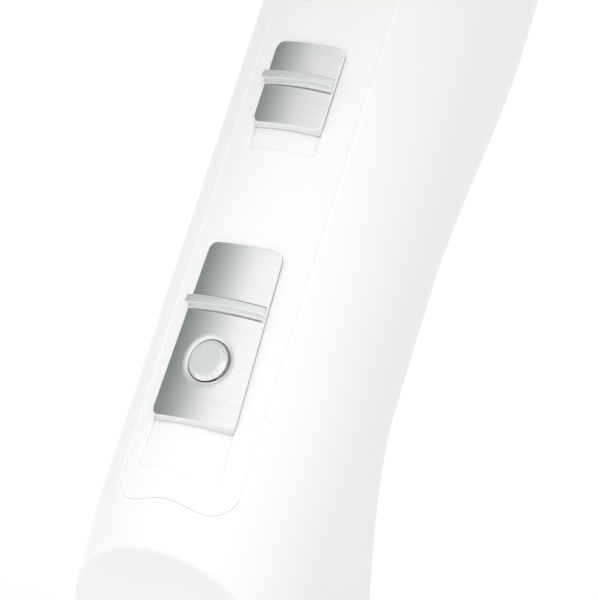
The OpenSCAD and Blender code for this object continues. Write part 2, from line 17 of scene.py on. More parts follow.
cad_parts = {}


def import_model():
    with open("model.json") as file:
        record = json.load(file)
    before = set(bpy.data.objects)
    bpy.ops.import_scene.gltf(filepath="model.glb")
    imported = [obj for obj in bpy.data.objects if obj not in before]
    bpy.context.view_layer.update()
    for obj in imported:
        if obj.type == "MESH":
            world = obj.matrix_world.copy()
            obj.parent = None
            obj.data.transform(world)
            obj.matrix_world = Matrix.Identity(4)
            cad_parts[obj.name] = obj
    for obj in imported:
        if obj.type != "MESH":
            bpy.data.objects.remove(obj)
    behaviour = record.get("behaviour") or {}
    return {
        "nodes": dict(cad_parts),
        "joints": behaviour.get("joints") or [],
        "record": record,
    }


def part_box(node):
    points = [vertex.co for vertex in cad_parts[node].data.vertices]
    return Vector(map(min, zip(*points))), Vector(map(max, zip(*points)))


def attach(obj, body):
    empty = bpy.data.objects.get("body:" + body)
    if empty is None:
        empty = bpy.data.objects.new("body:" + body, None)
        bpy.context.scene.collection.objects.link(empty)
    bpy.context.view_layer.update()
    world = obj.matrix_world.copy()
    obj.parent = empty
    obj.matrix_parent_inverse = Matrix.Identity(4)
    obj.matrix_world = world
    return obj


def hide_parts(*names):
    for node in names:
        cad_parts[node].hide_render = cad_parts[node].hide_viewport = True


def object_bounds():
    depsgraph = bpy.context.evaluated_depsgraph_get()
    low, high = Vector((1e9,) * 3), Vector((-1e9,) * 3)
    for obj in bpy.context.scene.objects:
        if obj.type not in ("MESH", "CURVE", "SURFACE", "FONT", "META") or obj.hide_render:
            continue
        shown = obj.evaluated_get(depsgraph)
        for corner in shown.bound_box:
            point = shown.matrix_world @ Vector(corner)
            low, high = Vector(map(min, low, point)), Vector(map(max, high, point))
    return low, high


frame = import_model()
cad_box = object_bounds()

# --- frame
MM = 0.001
JOINTS = {joint["name"]: joint for joint in frame["joints"]}
DOWN = Vector(JOINTS["speed_slide"]["axis"])
LEAN = atan2(-DOWN.x, -DOWN.z)
AXIS_Z = JOINTS["fan_spin"]["pos_m"][2] / MM


def node_x(node):
    """Lowest and highest X of a CAD node, in millimetres."""
    low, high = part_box(node)
    return low.x / MM, high.x / MM


X_FRONT, X_JOINT = node_x("barrel_shell")
X_HOUSING = node_x("rear_housing")[1]
X_COVER0, X_COVER1 = node_x("filter_cover")
X_MOUTH = node_x("concentrator_nozzle")[0]

# --- driving sizes
# The handle, in its own frame
HW = 19.8  # half its width, and the radius of its round front
WALL = 2.2
Z_BOT = -70.0
BEVEL = 6.0
WAIST_DEPTH = 23.2
SHOULDER_DEPTH = 10.8
HEEL_DEPTH = 27.0
LOW_TAPER = 0.9
FLARE = 3.4  # radius of the fillet up to the barrel
FLARE_SINK = 0.15
FLARE_ROOT = 62  # level whose section the fillet starts from
CREST = -57.4  # top of the thumb scoop, on the front centre line
CREST_FALL = 11.2
CREST_FALL_MAX = 6.5
CREST_SOFT = 0.55
CREST_LIP = 1.6
SCOOP_DEPTH = 8.5
HOLE_X = 8.0
HOLE_R = 7.6
BORE_R = 3.65

# The control panel, with angles in degrees from the front centre line
PANEL_ANGLE = 33.0
PANEL_TOP = 55.0
PANEL_LOW = -49.3
LOBE_ANGLE = 19.5
WAVE_RISE = 4.3
FILLET = 0.6
EDGE_DROP = 0.1
SEAM = 0.006
WAVE_SEAM = 0.1
SEAM_DEPTH = 0.2
SEAT_GAP = 0.004
FILLET_STEPS = [0.0, 0.18, 0.28, 0.38, 0.48, 0.6, 0.8]

# The switch plates and their tracks
PLATE_R = 20.6
PLATE_IN = 19.4
PLATE_CORNER = 1.5
PLATE_FOOT_CORNER = 0.35
PLATE_DRAFT = 0.45
PLATE_EDGE = 0.16
TRACK_R = 19.3
TRACK_GAP = 0.034
TRACK_END_GAP = 0.35
TRACK_CORNER = 1.6
TRACK_LOW_CORNER = 0.6
SPEED_TOP = 28.8
SPEED_H = 15.0
SPEED_W = 6.2
SPEED_TRAVEL = 3.4
HEAT_TOP = -6.7
HEAT_H = 30.2
HEAT_W_TOP = 6.6
HEAT_W_LOW = 7.5
HEAT_TRAVEL = 7.6
STEM_TOP = 3.2  # from a plate's top edge to the slot that its stem runs in
STEM_SLOT = 4.0
BUTTON_Z = -26.4
DISH_R = 4.7
DISH_HOLE_R = 3.6
DISH_DEPTH = 0.24

# The barrel, about its own axis
BARREL_R = 39.0
SPIGOT_R = 29.0
HOUSING_R = 40.6
COLLAR_R = 30.9
COVER_R = 41.2
COVER_RIM = 3.0


# --- small maths
def clamp01(value):
    return min(1.0, max(0.0, value))


def smooth(value):
    value = clamp01(value)
    return value * value * (3 - 2 * value)


def mix(low, high, share):
    return low + (high - low) * share


def spaced(low, high, count):
    """count + 1 evenly spaced values from low to high."""
    return [mix(low, high, k / count) for k in range(count + 1)]


def sind(angle):
    return sin(radians(angle))


def cosd(angle):
    return cos(radians(angle))


def on_handle(point):
    """A point of the handle's leaning frame, in the row frame."""
    x, y, z = point
    c, s = cos(LEAN), sin(LEAN)
    return (x * c + z * s, y, z * c - x * s)


def on_barrel(point):
    """A point given as X along the barrel, and two offsets from its axis."""
    x, across, up = point
    return (x, across, AXIS_Z + up)


# --- mesh helpers
class Shape:
    """Points and faces of one closed mesh, in millimetres."""

    def __init__(self):
        self.points = []
        self.faces = []
        self.normals = {}

    def add(self, points):
        first = len(self.points)
        self.points.extend(points)
        return list(range(first, len(self.points)))

    def bridge(self, ring_a, ring_b):
        """Quads between two rings of as many points."""
        count = len(ring_a)
        for k in range(count):
            n = (k + 1) % count
            self.faces.append((ring_a[k], ring_a[n], ring_b[n], ring_b[k]))

    def loft(self, rings):
        """A bar through rings of as many points, closed at both ends."""
        ids = [self.add(ring) for ring in rings]
        for a, b in zip(ids, ids[1:]):
            self.bridge(a, b)
        self.faces += [tuple(ids[0]), tuple(ids[-1])]


def link(name, data):
    """A new object in the scene."""
    thing = bpy.data.objects.new(name, data)
    bpy.context.scene.collection.objects.link(thing)
    return thing


def make(name, shape, place, body, slot, stands_for=(), sharp=32.0, bevel=0.0, paint=None):
    """One Blender object from a Shape, riding on a body of the frame.

    place takes the Shape's points to the row frame. sharp is the angle of a hard edge, in degrees.
    paint names a material other than the slot's own.
    """
    used = sorted({k for face in shape.faces for k in face})
    new_id = {k: n for n, k in enumerate(used)}
    points = [Vector(place(shape.points[k])) * MM for k in used]
    mesh = bpy.data.meshes.new(name)
    mesh.from_pydata(points, [], [[new_id[k] for k in face] for face in shape.faces])
    work = bmesh.new()
    work.from_mesh(mesh)
    bmesh.ops.recalc_face_normals(work, faces=work.faces)
    work.to_mesh(mesh)
    work.free()
    mesh.shade_smooth()
    mesh.set_sharp_from_angle(angle=radians(sharp))
    if shape.normals:
        origin = Vector(place((0, 0, 0)))
        wanted = [shape.normals.get(k) for k in used]
        turned = [(Vector(place(n)) - origin).normalized() if n else Vector() for n in wanted]
        mesh.normals_split_custom_set_from_vertices(turned)
    mesh.materials.append(PAINT[paint or slot])
    piece = link(name, mesh)
    if bevel:
        rounding = piece.modifiers.new("rounding", "BEVEL")
        rounding.width = bevel * MM
        rounding.segments = 2
        rounding.limit_method = "ANGLE"
        rounding.angle_limit = radians(40)
        rounding.harden_normals = True
    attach(piece, body)
    if stands_for:
        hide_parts(*stands_for)


def window_shell(outer, inner, rows, cols, is_open):
    """Two surfaces on one grid that goes all round, joined along every free edge.

    outer(i, j) and inner(i, j) give their points. is_open(i, j) leaves a cell out.
    """
    shape = Shape()
    ids = []
    for surface in (outer, inner):
        ids.append([shape.add([surface(i, j) for j in range(cols)]) for i in range(rows + 1)])

    def at(side, i, j):
        return ids[side][i][j % cols]

    def solid(i, j):
        return 0 <= i < rows and not is_open(i, j % cols)

    for i in range(rows):
        for j in range(cols):
            if not solid(i, j):
                continue
            corners = [(i, j), (i, j + 1), (i + 1, j + 1), (i + 1, j)]
            beyond = [(i - 1, j), (i, j + 1), (i + 1, j), (i, j - 1)]
            shape.faces.append(tuple(at(0, *c) for c in corners))
            shape.faces.append(tuple(at(1, *c) for c in reversed(corners)))
            for k in range(4):
                if solid(*beyond[k]):
                    continue
                a, b = corners[k], corners[(k + 1) % 4]
                shape.faces.append((at(0, *b), at(0, *a), at(1, *a), at(1, *b)))
    return shape


def inside(points, loop):
    """Which of the points lie inside a closed loop, by the even-odd rule."""
    hit = np.zeros(len(points), bool)
    x, y = points[:, 0], points[:, 1]
    for (x0, y0), (x1, y1) in zip(loop, loop[1:] + loop[:1]):
        if y0 == y1:
            continue
        crosses = (y0 > y) != (y1 > y)
        hit ^= crosses & (x < (x1 - x0) * (y - y0) / (y1 - y0) + x0)
    return hit


def within(points, outer, holes):
    """Which of the points lie inside the outer loop and outside every hole."""
    keep = inside(points, outer)
    for hole in holes:
        keep &= ~inside(points, hole)
    return keep


def fill(outer, holes, step):
    """Triangles over a flat region. The loops' points come first, in order, then a grid's."""
    loops = [outer] + holes
    points = [p for loop in loops for p in loop]
    edges, first = [], 0
    for loop in loops:
        count = len(loop)
        edges += [(first + k, first + (k + 1) % count) for k in range(count)]
        first += count
    border = np.array(points)
    low, high = border.min(0), border.max(0)
    across, along = (np.arange(low[k] + step[k] / 2, high[k], step[k]) for k in (0, 1))
    grid = np.array([(x, y) for x in across for y in along])
    clear = 0.3 * min(step)
    apart = np.array([np.min(np.hypot(*(border - g).T)) > clear for g in grid])
    points += [tuple(g) for g in grid[within(grid, outer, holes) & apart]]
    flat = [Vector((float(x), float(y))) for x, y in points]
    _, _, faces, source, _, _ = delaunay_2d_cdt(flat, edges, [], 0, 1e-5, True)
    triangles = np.array([[source[k][0] for k in face] for face in faces])
    keep = within(np.array(points)[triangles].mean(1), outer, holes)
    return points, [tuple(int(v) for v in t) for t in triangles[keep]]


def offset(loop, distance):
    """The loop moved to its left by distance, or by one distance a point, with mitred corners."""
    moved = []
    distances = distance if isinstance(distance, list) else [distance] * len(loop)
    for k, (x, y) in enumerate(loop):
        before, after = loop[k - 1], loop[(k + 1) % len(loop)]
        a = Vector((x - before[0], y - before[1])).normalized()
        b = Vector((after[0] - x, after[1] - y)).normalized()
        left = Vector((-a.y - b.y, a.x + b.x)) / (1 + a.dot(b))
        moved.append((x + left.x * distances[k], y + left.y * distances[k]))
    return moved


def arc(cx, cy, radius, start, stop, count=8):
    """Points on an arc, angles in degrees."""
    return [(cx + radius * cosd(a), cy + radius * sind(a)) for a in spaced(start, stop, count)]


def line(start, stop, count):
    """Points strictly between two corners, so that long edges can curve."""
    return [(mix(start[0], stop[0], k / count), mix(start[1], stop[1], k / count))
            for k in range(1, count)]


def plate_loop(half_top, half_low, top, low, r_top, r_low, cells=(10, 14)):
    """Rounded plate outline, anticlockwise from its lower right corner, in (arc, height)."""
    corners = [
        arc(half_low - r_low, low + r_low, r_low, -90, 0),
        arc(half_top - r_top, top - r_top, r_top, 0, 90),
        arc(-half_top + r_top, top - r_top, r_top, 90, 180),
        arc(-half_low + r_low, low + r_low, r_low, 180, 270),
    ]
    loop = []
    for k, corner in enumerate(corners):
        loop += corner
        following = corners[(k + 1) % 4][0]
        loop += line(corner[-1], following, cells[1 - k % 2])
    return loop


def rounded(corners, steps=5):
    """A closed outline with its corners rounded. Each corner is (x, y, radius)."""
    out = []
    for k, (x, y, radius) in enumerate(corners):
        here = Vector((x, y))
        if radius == 0:
            out.append((x, y))
            continue
        to_a = Vector(corners[k - 1][:2]) - here
        to_b = Vector(corners[(k + 1) % len(corners)][:2]) - here
        half = to_a.angle(to_b) / 2
        reach = radius / tan(half)
        start = here + to_a.normalized() * reach
        stop = here + to_b.normalized() * reach
        inward = (to_a.normalized() + to_b.normalized()).normalized()
        middle = here + inward * radius / sin(half)
        a = atan2(start.y - middle.y, start.x - middle.x)
        b = atan2(stop.y - middle.y, stop.x - middle.x)
        turn = (b - a + pi) % (2 * pi) - pi
        for t in spaced(0, 1, steps):
            out.append((middle.x + radius * cos(a + turn * t),
                        middle.y + radius * sin(a + turn * t)))
    return out


def revolved(profile, count=144):
    """Closed (x, r) profile turned about the barrel's axis. Points at r = 0 are shared."""
    shape = Shape()
    rings = []
    for x, r in profile:
        if r < 1e-6:
            rings.append(shape.add([(x, 0, 0)]) * count)
            continue
        turns = [2 * pi * k / count for k in range(count)]
        rings.append(shape.add([(x, r * cos(a), r * sin(a)) for a in turns]))
    for a, b in zip(rings, rings[1:] + rings[:1]):
        for k in range(count):
            n = (k + 1) % count
            face = list(dict.fromkeys((a[k], a[n], b[n], b[k])))
            if len(face) > 2:
                shape.faces.append(tuple(face))
    return shape


# --- materials
class Tree:
    """A node tree, and the few kinds of node that the looks here are made of."""

    def __init__(self, tree):
        self.nodes = tree.nodes
        self.links = tree.links

    def put(self, socket, value):
        """Sets a socket to a number or a colour, or links it to another node's output."""
        if isinstance(value, bpy.types.NodeSocket):
            self.links.new(value, socket)
        elif socket.type == "RGBA":
            socket.default_value = (*value, 1)
        else:
            socket.default_value = value

    def fill_in(self, node, **inputs):
        """Puts a value into each named input. An underscore in a name stands for a space."""
        for name, value in inputs.items():
            self.put(node.inputs[name.replace("_", " ")], value)
        return node

    def node(self, kind, **inputs):
        return self.fill_in(self.nodes.new("ShaderNode" + kind), **inputs)

    def surface(self, **inputs):
        self.fill_in(self.nodes["Principled BSDF"], **inputs)

    def grain(self, scale, stretch=(1, 1, 1), detail=3.0, tilt=0.0):
        """Noise on the piece's own coordinates. scale is cells per metre, tilt leans its frame."""
        where = self.node("TexCoord").outputs["Object"]
        where = self.node("Mapping", Rotation=(0, -tilt, 0), Vector=where).outputs["Vector"]
        where = self.node("Mapping", Scale=stretch, Vector=where).outputs["Vector"]
        return self.node("TexNoise", Scale=scale, Detail=detail, Vector=where).outputs["Fac"]

    def remap(self, value, low, high, from_low=0.3, from_high=0.7):
        """The value's own range, taken to low and high."""
        node = self.node("MapRange", From_Min=from_low, From_Max=from_high, To_Min=low, To_Max=high)
        return self.fill_in(node, Value=value).outputs["Result"]

    def blend(self, share, low, high):
        """A colour between low and high, which are colours or other nodes' outputs."""
        node = self.nodes.new("ShaderNodeMix")
        node.data_type = "RGBA"
        return self.fill_in(node, Factor=share, A=low, B=high).outputs["Result"]

    def edges(self, low=0.52, high=0.6):
        """1 along convex edges, 0 on flat and hollow places."""
        return self.remap(self.node("NewGeometry").outputs["Pointiness"], 0, 1, low, high)

    def bump(self, height, distance, **under):
        """Relief of a height, in metres. Normal=... lays it over another relief."""
        return self.node("Bump", Distance=distance, Height=height, **under).outputs["Normal"]


def material(name, look, *values):
    """A new material, with its nodes laid out by one of the looks below."""
    made = bpy.data.materials.new(name)
    made.use_nodes = True
    look(Tree(made.node_tree), *values)
    return made


def plastic(tree, colour, wear_and_highlight, rough, peel_scale, peel):
    """Moulded plastic: fine skin texture, slow shade drift, and lighter, duller edges; on the white shell
    the lighter edges are a painted highlight along seams and rims, elsewhere wear.
    """
    drift = tree.grain(45)
    base = tree.blend(tree.remap(drift, 0, 1), [c * 0.985 for c in colour], colour)
    tree.surface(
        # lighter edges: wear, and on the white shell a painted highlight along seams
        Base_Color=tree.blend(tree.edges(0.505, 0.55), base, wear_and_highlight),
        Roughness=tree.remap(drift, rough - 0.01, rough + 0.02),
        Normal=tree.bump(tree.grain(peel_scale, detail=2.0), peel),
    )


def brushed(tree, dark, light, rough, bright_edge, anisotropy):
    """Aluminium brushed round the handle: streaks that run across it, and polished edges."""
    fine = tree.grain(14000, stretch=(0.02, 0.02, 1), detail=4.0, tilt=LEAN)
    broad = tree.grain(4000, stretch=(0.012, 0.012, 1), detail=2.0, tilt=LEAN)
    drift = tree.grain(120, detail=2.0)
    streaks = tree.blend(tree.remap(broad, 0, 0.75), tree.blend(fine, dark, light), light)
    tangent = tree.node("Tangent")
    tangent.direction_type = "RADIAL"
    tangent.axis = "Z"
    tree.surface(
        Base_Color=tree.blend(tree.edges(0.54, 0.62), streaks, bright_edge),
        Metallic=1.0,
        Anisotropic=anisotropy,
        Tangent=tangent.outputs["Tangent"],
        Roughness=tree.remap(drift, rough - 0.015, rough + 0.02),
        Normal=tree.bump(fine, 4e-7, Normal=tree.bump(broad, 2e-7)),
    )


def satin(tree, dark, light, rough, bright_edge):
    """Silver lacquer with a bead-blasted look: wide soft sheen over a very fine tooth."""
    drift = tree.grain(160, detail=2.0)
    base = tree.blend(tree.remap(drift, 0, 1), dark, light)
    tree.surface(
        Base_Color=tree.blend(tree.edges(0.54, 0.64), base, bright_edge),
        Metallic=0.85,
        Roughness=tree.remap(drift, rough - 0.03, rough + 0.03),
        Normal=tree.bump(tree.grain(5000, detail=2.0), 1.5e-6),
    )


def metal(tree, dark, light, rough, scale=600, stretch=(1, 1, 1)):
    """Drawn, cast or rolled metal with uneven sheen, and brighter rubbed edges."""
    fine = tree.grain(scale, stretch=stretch, detail=4.0)
    tone = tree.blend(tree.remap(tree.grain(70, detail=2.0), 0, 1), dark, light)
    bright = [min(1.0, c * 1.15) for c in light]
    tree.surface(
        Base_Color=tree.blend(tree.edges(), tone, bright),
        Metallic=1.0,
        Roughness=tree.remap(fine, rough - 0.05, rough + 0.08),
        Normal=tree.bump(fine, 3e-6),
    )


def mica_sheet(tree, dark, light):
    """Flaky, slightly glossy mica board."""
    where = tree.node("TexCoord").outputs["Object"]
    flakes = tree.node("TexVoronoi", Scale=700, Vector=where).outputs["Distance"]
    share = tree.remap(flakes, 0, 1, 0.0, 0.8)
    tree.surface(
        Base_Color=tree.blend(share, dark, light),
        Roughness=tree.remap(share, 0.28, 0.5, 0, 1),
        Normal=tree.bump(share, 2e-5),
    )


# Each slot's colour, colour at edges (wear, and on the white shell a painted highlight), roughness, and its
# skin's cells a metre and relief
PLASTICS = {
    # the white shell's lighter edge colour paints a highlight along the panel's seam
    "white_shell": ((0.77, 0.77, 0.757), (0.845, 0.845, 0.835), 0.3, 900, 6e-7),
    "smoke_nozzle": ((0.76, 0.76, 0.75), (0.79, 0.79, 0.785), 0.3, 900, 6e-7),
    "inner_white": ((0.7, 0.7, 0.67), (0.75, 0.75, 0.72), 0.45, 1500, 1e-5),
    "dark_plastic": ((0.035, 0.035, 0.038), (0.07, 0.07, 0.075), 0.42, 1600, 1.2e-5),
    "soft_rubber": ((0.66, 0.66, 0.64), (0.7, 0.7, 0.68), 0.5, 2000, 1e-5),
    "board": ((0.05, 0.16, 0.07), (0.1, 0.24, 0.12), 0.35, 2500, 8e-6),
    "switch_black": ((0.03, 0.03, 0.03), (0.06, 0.06, 0.06), 0.48, 1800, 1e-5),
    "ferrite": ((0.05, 0.05, 0.055), (0.12, 0.12, 0.125), 0.6, 3000, 3e-5),
    "gasket": ((0.2, 0.21, 0.2), (0.3, 0.3, 0.3), 0.5, 2000, 2e-6),
    "wire_jacket": ((0.45, 0.05, 0.035), (0.5, 0.07, 0.05), 0.4, 1200, 1e-5),
}
# Each slot's dark and light tone and roughness, and for some their grain's cells a metre and stretch
METALS = {
    "collar_metal": ((0.72, 0.73, 0.74), (0.85, 0.86, 0.87), 0.14, 2500, (0.04, 1, 1)),
    "steel": ((0.5, 0.5, 0.51), (0.66, 0.66, 0.67), 0.3),
    "copper_alloy": ((0.62, 0.4, 0.2), (0.78, 0.56, 0.3), 0.32),
    "heater_wire": ((0.28, 0.25, 0.23), (0.48, 0.45, 0.42), 0.4, 2500),
}
SILVER = (0.77, 0.79, 0.78)
POLISHED = (0.95, 0.95, 0.95)
PAINT = {
    **{slot: material(slot, plastic, *values) for slot, values in PLASTICS.items()},
    **{slot: material(slot, metal, *values) for slot, values in METALS.items()},
    "silver_plate": material("silver_plate", brushed, SILVER, (0.93, 0.94, 0.935), 0.32, POLISHED, 0.4),
    "silver_button": material("silver_button", satin, SILVER, (0.82, 0.835, 0.825), 0.5, POLISHED),
    "mica": material("mica", mica_sheet, (0.52, 0.43, 0.26), (0.72, 0.65, 0.47)),
}


def paint_nodes():
    """Every CAD node takes the material of its slot in the record."""
    for part in frame["record"]["subparts"]:
        node = frame["nodes"][part["node"]]
        node.data.materials.clear()
        node.data.materials.append(PAINT[part["material_slot"]])


# --- handle
def wave_z(angle):
    """Lower edge of the panel's window: two lobes, a shallow rise between them, and round corners."""
    angle = abs(angle)
    if angle < LOBE_ANGLE:
        return PANEL_LOW - sind(angle / LOBE_ANGLE * 90) ** 2
    share = (min(angle, PANEL_ANGLE) - LOBE_ANGLE) / (PANEL_ANGLE - LOBE_ANGLE)
    return PANEL_LOW - 1 + WAVE_RISE * (1 - sqrt(max(0.0, 1 - share ** 2)))


def frontness(angle):
    """1 on the front centre line, falling to 0 at the sides and behind them."""
    return cosd(min(abs(angle), 90))


def crest_z(angle):
    """Level where the thumb scoop starts."""
    return CREST - min(CREST_FALL * (1 - frontness(angle)), CREST_FALL_MAX)


def scoop(z, angle):
    """How far the front is hollowed below the crest, which has a softly rounded edge."""
    crest = crest_z(angle)
    below = crest - z
    below = (below + sqrt(below * below + CREST_SOFT * CREST_SOFT)) / 2
    share = clamp01(below / (crest - Z_BOT))
    return SCOOP_DEPTH * share * (1.75 - 0.75 * share) * max(0.0, frontness(angle)) ** 1.5


def rear_depth(z):
    """How far the back stands behind the handle's axis."""
    heel = clamp01((-z - 18) / 50)
    return WAIST_DEPTH + SHOULDER_DEPTH * smooth(z / 50) + HEEL_DEPTH * heel ** 2.3


def squareness(z):
    """Exponent of the section's rear half, 2 being an ellipse."""
    return 2.5 + 1.5 * smooth((-z - 20) / 35)


def inset(z):
    """How far the rounding of the bottom edge draws the section in."""
    share = clamp01((Z_BOT + BEVEL - z) / BEVEL)
    return BEVEL * (1 - sqrt(1 - share * share))


def section(angle, z, inward, z_shape):
    """Point of the handle's section at an angle from the front centre line, in degrees.

    z_shape is the level that the scoop and the bottom rounding are taken from.
    """
    c, s = cosd(angle), sind(angle)
    inward += inset(z_shape) + LOW_TAPER * clamp01((-50 - z) / 20)
    if c >= 0:
        return (-(HW - inward) * c + scoop(z_shape, angle), (HW - inward) * s)
    power = 2 / squareness(z)
    return ((rear_depth(z) - inward) * abs(c) ** power,
            (HW - inward) * copysign(abs(s) ** power, s))


def saddle_z(x, y):
    """Where the barrel's underside cuts the handle."""
    return (AXIS_Z - sqrt(BARREL_R ** 2 - y * y) + x * sin(LEAN)) / cos(LEAN)


def quarter(distance, radius):
    """Depth of a round edge at a distance from it."""
    if distance >= radius:
        return 0.0
    return radius - sqrt(radius ** 2 - (radius - distance) ** 2)


def eased_drop(distance):
    """Depth of the shallow valley along the panel's seam, at a distance from the seam."""
    return EDGE_DROP * (1 - clamp01(distance / FILLET)) ** 2


def panel_angles():
    """Angles across the panel, in degrees, close together where the wave turns into its sides."""
    side = PANEL_ANGLE - LOBE_ANGLE
    rise = [LOBE_ANGLE + side * sind(t) for t in spaced(0, 90, 14)]
    middle = spaced(-LOBE_ANGLE, LOBE_ANGLE, 28)
    return [-a for a in reversed(rise)] + middle[1:-1] + rise


def handle_columns():
    """Angles round the handle, in degrees, close together beside the window, and the window's cells."""
    fine = [degrees(d / HW) for d in FILLET_STEPS]
    front = panel_angles()
    right = [PANEL_ANGLE + a for a in fine[1:]]
    left = [360 - PANEL_ANGLE - a for a in reversed(fine[1:])]
    around = spaced(right[-1], left[0], 150)[1:-1]
    return front + right + around + left, len(front) - 1


def handle_shell():
    """The handle's casing, open at the panel's window, the barrel and the cord inlet."""
    angles, window_cells = handle_columns()
    levels = [("flare", t) for t in spaced(0, 1, 8)]
    levels += [("top", t) for t in spaced(0, 1, 6)[1:]]
    levels += [("above", d) for d in reversed(FILLET_STEPS[:-1])]
    first_open = len(levels) - 1
    levels += [("panel", t) for t in spaced(0, 1, 64)[1:]]
    last_open = len(levels) - 1
    levels += [("below", d) for d in FILLET_STEPS[1:]]
    for kind, steps in (("apron", 14), ("lip", 14), ("scoop", 30), ("floor", 5)):
        levels += [(kind, t) for t in spaced(0, 1, steps)[1:]]

    def level_z(i, angle, seat, low):
        kind, t = levels[i]
        crest, wave = crest_z(angle), wave_z(angle)
        spans = {
            "top": (seat - FLARE, PANEL_TOP + FILLET_STEPS[-1], t),
            "above": (PANEL_TOP, PANEL_TOP + 1, t),
            "panel": (PANEL_TOP, wave, t),
            "below": (wave, wave - 1, t),
            "apron": (wave - FILLET_STEPS[-1], crest + CREST_LIP, t),
            "lip": (crest + CREST_LIP, crest - CREST_LIP, t),
            "scoop": (crest - CREST_LIP, low, sind(90 * t)),
        }
        return mix(*spans[kind])

    def edge_drop(angle, z):
        """Depth of the shallow valley round the window."""
        aside = radians(max(0.0, abs(angle) - PANEL_ANGLE)) * HW
        above = max(0.0, z - PANEL_TOP, wave_z(angle) - z)
        return eased_drop(hypot(aside, above))

    def point(i, j, depth):
        angle = angles[j] if angles[j] <= 180 else angles[j] - 360
        kind, t = levels[i]
        low = Z_BOT + depth
        if kind == "flare":
            out = 0.0 if depth else FLARE * (1 - sind(90 * t))
            x, y = section(angle, FLARE_ROOT, depth - out, FLARE_ROOT)
            return (x, y, saddle_z(x, y) + FLARE_SINK * (1 - t) - FLARE * (1 - cosd(90 * t)))
        if kind == "floor":
            rim_x, rim_y = section(angle, low, depth, Z_BOT)
            return (mix(rim_x, HOLE_X - HOLE_R * cosd(angle), t), mix(rim_y, HOLE_R * sind(angle), t), low)
        z = level_z(i, angle, saddle_z(*section(angle, FLARE_ROOT, depth, FLARE_ROOT)), low)
        z_shape = z
        if depth:
            z_shape = z - WALL * clamp01((crest_z(angle) - z) / (crest_z(angle) - low))
        drop = edge_drop(angle, z) if depth == 0 else 0.0
        x, y = section(angle, z, depth + drop, z_shape)
        return (x, y, z)

    def is_open(i, j):
        return j < window_cells and first_open <= i < last_open

    shape = window_shell(lambda i, j: point(i, j, 0.0), lambda i, j: point(i, j, WALL),
                         len(levels) - 1, len(angles), is_open)
    make("handle_skin", shape, on_handle, "housing", "white_shell", ("handle_shell",), sharp=48)


# --- panel and plates
def curved(arc_length, z, radius):
    """Point on a cylinder about the handle's own axis, from an arc length taken at HW."""
    a = arc_length / HW
    return (-radius * cos(a), radius * sin(a), z)


def add_ring(shape, loop, radius):
    return shape.add([curved(s, z, radius) for s, z in loop])


def add_surface(shape, outer, holes, radius, step, outward=False):
    """A filled region on the cylinder. Returns the ids of each loop's points.

    step is the grid's spacing round and along the handle. outward gives the region true normals.
    """
    flat, triangles = fill(outer, holes, step)
    ids = add_ring(shape, flat, radius)
    shape.faces += [tuple(ids[k] for k in t) for t in triangles]
    if outward:
        for k, (s, _) in zip(ids, flat):
            shape.normals[k] = (-cos(s / HW), sin(s / HW), 0)
    rings, first = [], 0
    for loop in [outer] + holes:
        rings.append(ids[first:first + len(loop)])
        first += len(loop)
    return rings


def roll_edge(shape, ring, loop, radius, fillet, side, drop=None):
    """Rounds a surface over its edge. side is 1 where the loop's left is solid, else -1.

    fillet is the width of the rounding, one value or one a point. drop is its depth.
    """
    steps = 5
    widths = fillet if isinstance(fillet, list) else [fillet] * len(loop)
    depth = widths[0] if drop is None else drop
    for k in range(steps + 1):
        turn = 90 * k / steps
        moved = offset(loop, [side * width * (1 - sind(turn)) for width in widths])
        ring = drop_wall(shape, ring, moved, radius - depth * (1 - cosd(turn)))
    return ring


def drop_wall(shape, ring, loop, radius):
    """Carries a ring on to a loop at another radius."""
    following = add_ring(shape, loop, radius)
    shape.bridge(ring, following)
    return following


def panel_outline(gap, wave_gap):
    """Outline of the control panel, anticlockwise, with the wave along its lower edge."""
    half = radians(PANEL_ANGLE) * HW - gap
    top = PANEL_TOP - gap
    low = wave_z(PANEL_ANGLE) + wave_gap
    loop = [(-half, low)]
    for a in panel_angles()[1:-1]:
        s = radians(a) * HW
        if abs(s) < half:
            loop.append((s, wave_z(a) + wave_gap))
    loop += [(half, low)] + line((half, low), (half, top), 70)
    loop += [(half, top)] + line((half, top), (-half, top), 24)
    loop += [(-half, top)] + line((-half, top), (-half, low), 70)
    return loop


def slot_loop(half, top, low):
    return plate_loop(half, half, top, low, 0.6, 0.6, (3, 6))


def track_loop(half_top, half_low, top, low, cells):
    """Outline of the sunk track that a plate slides in."""
    return plate_loop(half_top + TRACK_GAP, half_low + TRACK_GAP, top + TRACK_GAP, low - TRACK_END_GAP,
                      TRACK_CORNER, TRACK_LOW_CORNER, cells)


def stem_slot(top, travel):
    """The slot in a track's floor that a plate's stem runs in."""
    return slot_loop(1.9, top - STEM_TOP, top - STEM_TOP - STEM_SLOT - travel)


